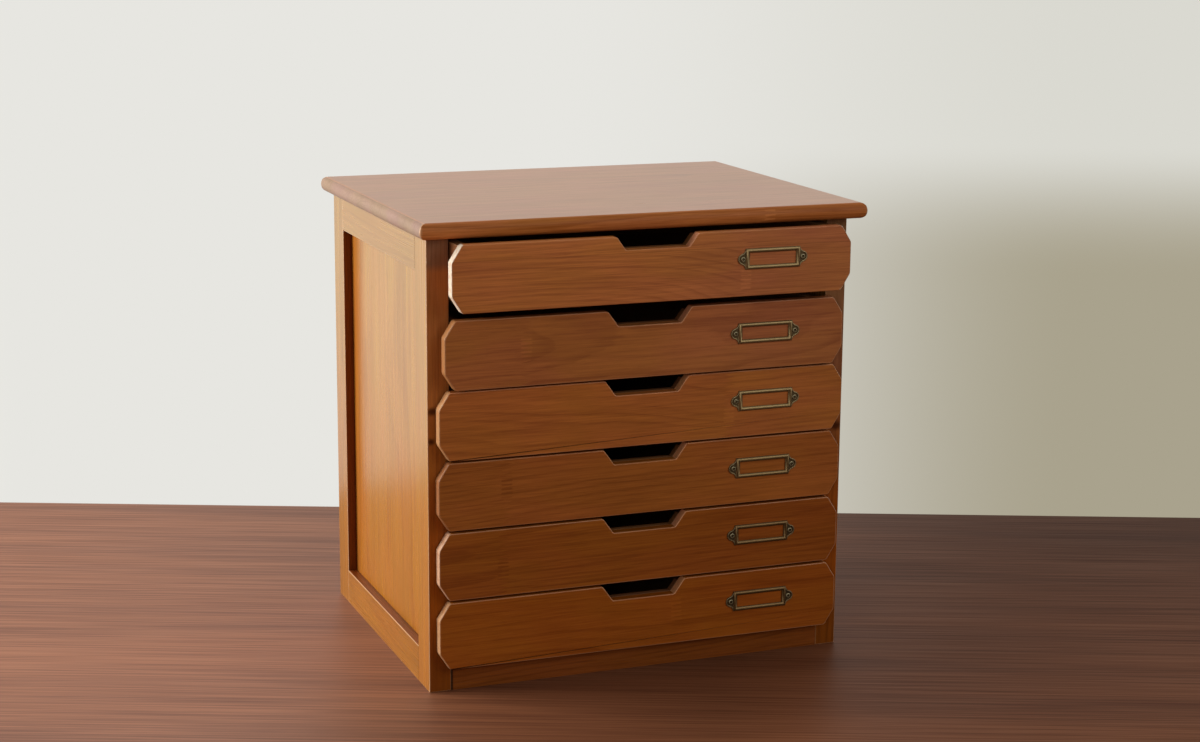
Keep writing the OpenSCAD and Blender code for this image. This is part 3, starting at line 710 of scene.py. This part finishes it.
def make_side_frames():
    """Two stiles, two rails and a panel on each side, darker in the recess as painted shade, and darker
    on the fronts partly as stain and partly as painted shade.
    """
    stiles = {"front": ([side_upright_wood, stile_front_wood], faces_stile_front),
              "rear": ([rear_upright_wood, recess_painted_shade_wood], faces_front)}
    for side in SIDES:
        for end, (woods, choose) in stiles.items():
            node = f"{side}_{end}_stile"
            dress(soft_copy(node, woods, STILE_EASE, choose=choose), "cabinet", node)
        for level in ("top", "bottom"):
            node = f"{side}_{level}_rail"
            rail = soft_copy(node, [side_rail_wood, ledge_painted_shade_wood], RAIL_EASE, choose=faces_up)
            dress(rail, "cabinet", node)
        node = f"{side}_panel"
        dress(soft_copy(node, [side_panel_wood], PANEL_EASE), "cabinet", node)


def make_cross_pieces():
    """The pieces between the side frames, and the runners on them."""
    for node, material, slot in (("front_bottom_rail", front_rail_wood, "cabinet_wood"),
                                 ("rear_cross_rails", rear_rail_wood, "cabinet_wood"),
                                 ("back_panel", ply, "panel_ply"),
                                 ("bottom_panel", ply, "panel_ply")):
        dress(soft_copy(node, [material], STRIP_EASE), "cabinet", node)
    for side in SIDES:
        node = f"{side}_runners"
        dress(soft_copy(node, [box_side_wood], STRIP_EASE), "cabinet", node)


def make_drawers():
    """Six drawers, each a front with a stain of its own and a plain box behind it."""
    box_walls = {"left_side": box_side_wood, "right_side": box_side_wood, "back": box_wood}
    for n in DRAWERS:
        body = f"drawer_{n}"
        node = f"drawer_{n}_front"
        dress(soft_front(node, front_wood(n)), body, node)
        node = f"drawer_{n}_box_front"
        dress(soft_copy(node, [box_wood], BOX_EASE, rim_arris), body, node)
        for wall, material in box_walls.items():
            node = f"drawer_{n}_{wall}"
            dress(soft_copy(node, [material], BOX_EASE), body, node)
        node = f"drawer_{n}_bottom"
        dress(soft_copy(node, [ply], BOX_BOTTOM_EASE), body, node)


# ---- top board ------------------------------------------------------------------------------------

NOSE = 5.5 * MM    # how far the rounded edge stands proud of its own top and bottom
TOP_CORNER, LEAST_CORNER = 2 * MM, 0.7 * MM
EDGE_STEPS, CORNER_STEPS = 18, 4


def stack_rings(mesh, rings, is_arris):
    """Joins closed rings of points into a skin and closes both ends. is_arris(i) tells if column i of
    faces is rubbed."""
    worn = mesh.faces.layers.float.new("arris")
    loops = [[mesh.verts.new(p) for p in ring] for ring in rings]
    count = len(loops[0])
    for lower, upper in zip(loops, loops[1:]):
        for i in range(count):
            j = (i + 1) % count
            face = mesh.faces.new((lower[i], lower[j], upper[j], upper[i]))
            face[worn] = BOARD_WEAR if is_arris(i) else 0.0
    mesh.faces.new(loops[0][::-1])
    mesh.faces.new(loops[-1])


def board_outline(centre, half, inset, z):
    """The outline of the top board with round corners, inset from its box, at height z."""
    radius = max(TOP_CORNER - inset, LEAST_CORNER)
    inner = Vector((half.x - inset - radius, half.y - inset - radius))
    points = []
    for turn, (sx, sy) in enumerate(((1, 1), (-1, 1), (-1, -1), (1, -1))):
        for i in range(CORNER_STEPS + 1):
            angle = math.radians(90 * (turn + i / CORNER_STEPS))
            points.append((centre.x + sx * inner.x + radius * math.cos(angle),
                           centre.y + sy * inner.y + radius * math.sin(angle), z))
    return points


def round_corner(column):
    """True for a column of faces round one of the board's corners."""
    return column % (CORNER_STEPS + 1) < CORNER_STEPS


def board_side(face):
    """The material index of a face: the ends, the front edge, and the top with the rest."""
    if abs(face.normal.x) > abs(face.normal.y) and face.normal.z < FACING:
        return 2
    return 1 if face.normal.y < -SLANTED or face.normal.z < -FACING else 0


def make_top_board():
    """The overhanging board, its edge half an ellipse in section."""
    low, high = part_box("top_board")
    centre, half = (low + high) / 2, (high - low) / 2
    mesh = bmesh.new()
    rings = []
    for i in range(EDGE_STEPS + 1):
        turn = math.radians(180 * i / EDGE_STEPS - 90)
        inset = NOSE * (1 - math.cos(turn))
        rings.append(board_outline(centre, half, inset, centre.z + half.z * math.sin(turn)))
    stack_rings(mesh, rings, round_corner)
    bmesh.ops.recalc_face_normals(mesh, faces=mesh.faces)
    for face in mesh.faces:
        face.material_index = board_side(face)
    board = finish_mesh("overhanging_top", mesh, [top_wood, top_edge_wood, top_end_wood])
    dress(board, "cabinet", "top_board")


# ---- label holders --------------------------------------------------------------------------------

# An ear's reach past the card frame, and the pin's distance from it.
EAR_REACH, PIN_OFFSET = 6.5 * MM, 2.2 * MM
# How far below the card frame's corner its ear begins.
EAR_DROP = 0.85 * MM
EAR_FLARE = math.radians(75)
LOBE_STEPS, HOLLOW_STEPS, PIN_STEPS = 9, 7, 24
# Sections of the pressed brass in millimetres: how far in from the outer edge, or how far from the
# pin's middle, then how high, and how rubbed it is.
FRAME_SECTION = [
    (0, 0, 0.5), (0.1, 0.7, 0.75), (0.4, 1.3, 0.9), (0.9, 1.75, 1.0), (1.4, 1.94, 1.0), (1.8, 2.0, 1.0),
    (2.2, 1.94, 1.0), (2.7, 1.7, 0.9), (3.2, 1.2, 0.7), (3.5, 0.8, 0.4), (3.55, 0.6, 0.0),
    (2.2, 0.6, 0.0), (2.2, 0, 0)]
RIM_SECTION = [
    (0, 0, 0.4), (0, 0.8, 1.0), (0.1, 1.05, 1.3), (0.4, 1.18, 1.3), (0.8, 1.15, 1.2), (1.05, 0.95, 0.6),
    (1.2, 0.6, 0.0)]
PIN_SECTION = [
    (2.1, 0.6, 0.0), (2.05, 0.9, 0.9), (1.85, 1.25, 1.6), (1.5, 1.45, 1.7), (1.2, 1.4, 1.4),
    (1.05, 1.2, 0.2), (1.0, 0.9, -0.5), (0.95, 0.65, -0.5)]


def strip(mesh, rows, closed):
    """Skins a list of equally long rows of vertices."""
    for lower, upper in zip(rows, rows[1:]):
        count = len(lower)
        for i in range(count if closed else count - 1):
            j = (i + 1) % count
            mesh.faces.new((lower[i], lower[j], upper[j], upper[i]))


def label_vert(mesh, at, rise, rub):
    """A point of a label holder, rise in front of the drawer front and rubbed by rub."""
    vert = mesh.verts.new((at[0], -rise, at[1]))
    vert[mesh.verts.layers.float["rubbed"]] = rub
    return vert


def polar(angle):
    """The point on the unit circle at an angle."""
    return Vector((math.cos(angle), math.sin(angle)))


def add_card_frame(mesh, width, height):
    """The four bars round the card, mitred at the corners."""
    rows = []
    for inset, rise, rub in FRAME_SECTION:
        x, z = width / 2 - inset * MM, height / 2 - inset * MM
        corners = ((-x, -z), (x, -z), (x, z), (-x, z))
        rows.append([label_vert(mesh, at, rise * MM, rub) for at in corners])
    strip(mesh, rows + rows[:1], closed=True)


def ear_outline(inset, corner):
    """Half of an ear's outline about its pin: round the lobe, then up a hollow curve to the frame."""
    lobe = EAR_REACH - PIN_OFFSET
    slope = corner * math.sin(EAR_FLARE) - PIN_OFFSET * math.cos(EAR_FLARE) - lobe
    reach = (PIN_OFFSET ** 2 + corner ** 2 - lobe ** 2) / (2 * slope)
    hollow = polar(EAR_FLARE) * reach
    end = math.atan2(corner - hollow.y, -PIN_OFFSET - hollow.x) % (2 * math.pi)
    start = EAR_FLARE + math.pi
    half = [polar(EAR_FLARE * t / LOBE_STEPS) * (lobe - inset) for t in range(LOBE_STEPS + 1)]
    for t in range(1, HOLLOW_STEPS + 1):
        angle = start + (end - start) * t / HOLLOW_STEPS
        half.append(hollow + polar(angle) * (reach - lobe + inset))
    return half


def add_ear(mesh, side, pin_x, corner):
    """The rimmed ear on one side, which meets the card frame at corner above and below its middle."""
    rows = []
    for inset, rise, rub in RIM_SECTION:
        half = ear_outline(inset * MM, corner)
        outline = [Vector((p.x, -p.y)) for p in reversed(half[1:])] + half
        rows.append([label_vert(mesh, (side * (pin_x + p.x), p.y), rise * MM, rub) for p in outline])
    strip(mesh, rows, closed=False)
    mesh.faces.new(rows[-1])
    mesh.faces.new(rows[0])
    mesh.faces.new([row[0] for row in rows] + [row[-1] for row in reversed(rows)])


def add_pin_head(mesh, x):
    """A round pin's head with a hollow in its middle."""
    rows = []
    for radius, rise, rub in PIN_SECTION:
        ring = [polar(2 * math.pi * i / PIN_STEPS) * radius * MM for i in range(PIN_STEPS)]
        rows.append([label_vert(mesh, (x + p.x, p.y), rise * MM, rub) for p in ring])
    strip(mesh, rows, closed=True)
    mesh.faces.new(rows[-1])
    mesh.faces.new(rows[0])


def make_label_holders():
    """A pressed brass card frame with two pinned ears on each front."""
    for n in DRAWERS:
        node = f"drawer_{n}_label_holder"
        low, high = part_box(node)
        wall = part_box(f"drawer_{n}_front")[0].y
        middle = (low + high) / 2
        width, height = high.x - low.x - 2 * EAR_REACH, high.z - low.z
        pin_x = width / 2 + PIN_OFFSET
        mesh = bmesh.new()
        mesh.verts.layers.float.new("rubbed")
        add_card_frame(mesh, width, height)
        for side in (-1, 1):
            add_ear(mesh, side, pin_x, height / 2 - EAR_DROP)
            add_pin_head(mesh, side * pin_x)
        bmesh.ops.recalc_face_normals(mesh, faces=mesh.faces)
        bmesh.ops.translate(mesh, verts=mesh.verts, vec=(middle.x, wall, middle.z))
        holder = finish_mesh(f"label_holder_{n}", mesh, [brass])
        dress(holder, f"drawer_{n}", node)


def finish_screws():
    """The frame's own screws, in plated steel."""
    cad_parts["runner_screws"].material_slots[0].material = steel


# ---- stage ----------------------------------------------------------------------------------------

AMBIENT = 0.12
BACKDROP = linear("#e7e6e1")
BACKDROP_BRIGHT = linear("#f8fff2")   # its far left, beside the window
BACKDROP_SHADE = linear("#dad9d1")    # its right, away from the window
BACKDROP_SHADOW = linear("#a9a28d")   # the chest's soft shadow on it
TABLE_LIGHT, TABLE_DARK = stain("#885538", "#5d3521")
TABLE_TURN = math.radians(-22.4)      # the way that the table's grain and its far edge run
TABLE_EDGE = 359                      # from the middle of the chest to the far edge, in millimetres
FLOOR_REACH = 12                      # from its middle to each side, in metres

# Where the shading of the table and the backdrop fans out from, in millimetres along the table's grain
# and across it. The slopes below are measured from there, and the depths from the chest's middle. Each
# change goes from its first place to its second, with its values there after them.
FAN_ALONG, FAN_DEPTH = 45, -1889
# Painted light and shade on the table: TABLE_LIT makes it brighter towards the window at the left and
# darker to the right, and OPEN_SIDE and OPEN_SIDE_LIT make it, right of the chest, darker towards the far
# edge and brighter towards the front.
TABLE_LIT = (-0.3, 0.2, 1.3, 0.55)
OPEN_SIDE = (0.03, 0.11)
OPEN_SIDE_LIT = (350, -50, -0.35, 0.65)
TABLE_SHINE = (-0.25, 0.2, 0.35, 0.03)
WINDOW_SHINE = (-0.7, -0.3, 0.1, 1.0)
BACKDROP_TURNS = (-0.05, 0.2)
BACKDROP_BRIGHTENS = (-0.28, -0.4)
SHADOW_ACROSS = (-0.03, 0.2)
SHADOW_DEEP = (3800, 1800)


def backdrop_ray(tree):
    """One for rays that show the backdrop, and zero for the soft light that bounces about."""
    ray = tree.add("LightPath").outputs
    seen = tree.math("MAXIMUM", ray["Is Camera Ray"], ray["Is Glossy Ray"])
    return tree.math("MAXIMUM", seen, ray["Is Transmission Ray"])


def make_table_wood():
    """The table's stained wood, which gives way to the pale backdrop at the table's far edge."""
    material, tree, shader = new_material("studio_floor")
    band_scale, fibre_scale = (0.0012, 0.02, 1), (0.005, 0.35, 1)
    place = tree.vector("SCALE", tree.add("TexCoord").outputs["Object"], scale=1 / MM)
    along = tree.vector("DOT_PRODUCT", place, (math.cos(TABLE_TURN), math.sin(TABLE_TURN), 0))
    depth = tree.vector("DOT_PRODUCT", place, (-math.sin(TABLE_TURN), math.cos(TABLE_TURN), 0))
    from_fan = tree.math("SUBTRACT", along, FAN_ALONG)
    slope = tree.math("DIVIDE", from_fan, tree.math("SUBTRACT", depth, FAN_DEPTH))

    point = tree.joined(along, depth, 0)
    bands = tree.noise(point, band_scale, 3)
    fibres = tree.noise(point, fibre_scale, 4, 0.6)
    tone = tree.ramp(tree.math("MULTIPLY_ADD", bands, 0.5, fibres), 0.5, 1.0)
    # Painted light and shade: the table's colour is scaled brighter towards the window and darker away.
    open_lit = tree.math("MULTIPLY_ADD", tree.ramp(slope, *OPEN_SIDE), tree.ramp(depth, *OPEN_SIDE_LIT), 1)
    lit = tree.math("MULTIPLY", tree.ramp(slope, *TABLE_LIT), open_lit)
    colour = tree.vector("SCALE", tree.mix(tone, TABLE_LIGHT, TABLE_DARK), scale=lit)
    shine = tree.math("MULTIPLY", tree.ramp(slope, *TABLE_SHINE), tree.ramp(slope, *WINDOW_SHINE))
    tree.feed(shader["Base Color"], colour)
    tree.feed(shader["Roughness"], tree.ramp(fibres, 0.2, 0.8, 0.42, 0.55))
    tree.feed(shader["Specular IOR Level"], shine)

    pale = tree.mix(tree.ramp(slope, *BACKDROP_TURNS), BACKDROP, BACKDROP_SHADE)
    shadow = tree.math("MULTIPLY", tree.ramp(slope, *SHADOW_ACROSS), tree.ramp(depth, *SHADOW_DEEP))
    pale = tree.mix(shadow, pale, BACKDROP_SHADOW)
    pale = tree.mix(tree.ramp(slope, *BACKDROP_BRIGHTENS), pale, BACKDROP_BRIGHT)
    haze = tree.add("Emission", {"Color": pale, "Strength": 1.0}).outputs["Emission"]
    beyond = tree.math("MULTIPLY", tree.ramp(depth, TABLE_EDGE - 1, TABLE_EDGE + 1), backdrop_ray(tree))
    nodes = material.node_tree.nodes
    surface = nodes["Principled BSDF"].outputs["BSDF"]
    blend = tree.add("MixShader", {0: beyond, 1: surface, 2: haze}).outputs["Shader"]
    tree.feed(nodes["Material Output"].inputs["Surface"], blend)
    return material


def make_floor():
    """A dark table top that ends behind the chest, where the pale backdrop takes over."""
    mesh = bmesh.new()
    bmesh.ops.create_grid(mesh, x_segments=1, y_segments=1, size=FLOOR_REACH)
    data = bpy.data.meshes.new("studio_floor")
    mesh.to_mesh(data)
    mesh.free()
    data.materials.append(make_table_wood())
    floor = bpy.data.objects.new("studio_floor", data)
    bpy.context.scene.collection.objects.link(floor)


def make_backdrop():
    """A pale surround that lights the chest only faintly."""
    world = bpy.data.worlds.new("studio")
    bpy.context.scene.world = world
    world.use_nodes = True
    tree = Tree(world.node_tree)
    background = world.node_tree.nodes["Background"].inputs
    tree.feed(background["Color"], BACKDROP)
    tree.feed(background["Strength"], tree.ramp(backdrop_ray(tree), 0, 1, AMBIENT, 1.0))


LAMP_TARGET = Vector((0, 0, 0.2))


def add_lamp(name, place, size, power):
    """A soft lamp that points at the middle of the chest."""
    data = bpy.data.lights.new(name, "AREA")
    data.shape = "RECTANGLE"
    data.size, data.size_y = size
    data.energy = power
    lamp = bpy.data.objects.new(name, data)
    lamp.location = place
    lamp.rotation_euler = (LAMP_TARGET - Vector(place)).to_track_quat("-Z", "Y").to_euler()
    bpy.context.scene.collection.objects.link(lamp)
    lamp.visible_camera = False


def light_stage():
    """A tall window on the left, and fills for the fronts, the left side and the top."""
    add_lamp("window", (-2.2, 0.9, 0.9), (1.6, 1.7), 98)
    add_lamp("front_fill", (0.95, -1.7, 1.15), (1.4, 1.1), 11.3)
    add_lamp("left_fill", (-1.6, -2.2, 0.9), (1.4, 1.2), 9)
    add_lamp("ceiling", (-0.3, 1.2, 2.2), (1.6, 1.2), 14)


def place_camera():
    """The camera at the left front, looking a little down. The focal length is in pixels."""
    eye = (-0.6767, -1.7649, 0.6338)
    yaw, pitch, roll = (math.radians(a) for a in (21.33, 12.22, 0.45))
    image_width, focal = 1200, 2261.5
    data = bpy.data.cameras.new("camera")
    data.sensor_width = 36
    data.lens = focal / image_width * data.sensor_width
    data.clip_start, data.clip_end = 0.05, 50
    camera = bpy.data.objects.new("camera", data)
    aim = Matrix.Rotation(-yaw, 4, "Z") @ Matrix.Rotation(math.pi / 2 - pitch, 4, "X")
    camera.matrix_world = Matrix.Translation(eye) @ aim @ Matrix.Rotation(roll, 4, "Z")
    bpy.context.scene.collection.objects.link(camera)
    bpy.context.scene.camera = camera


place_camera()
make_floor()
make_backdrop()
light_stage()
make_side_frames()
make_cross_pieces()
make_drawers()
make_top_board()
make_label_holders()
finish_screws()

scene = bpy.context.scene
scene.view_settings.view_transform = "Standard"

bpy.context.view_layer.update()
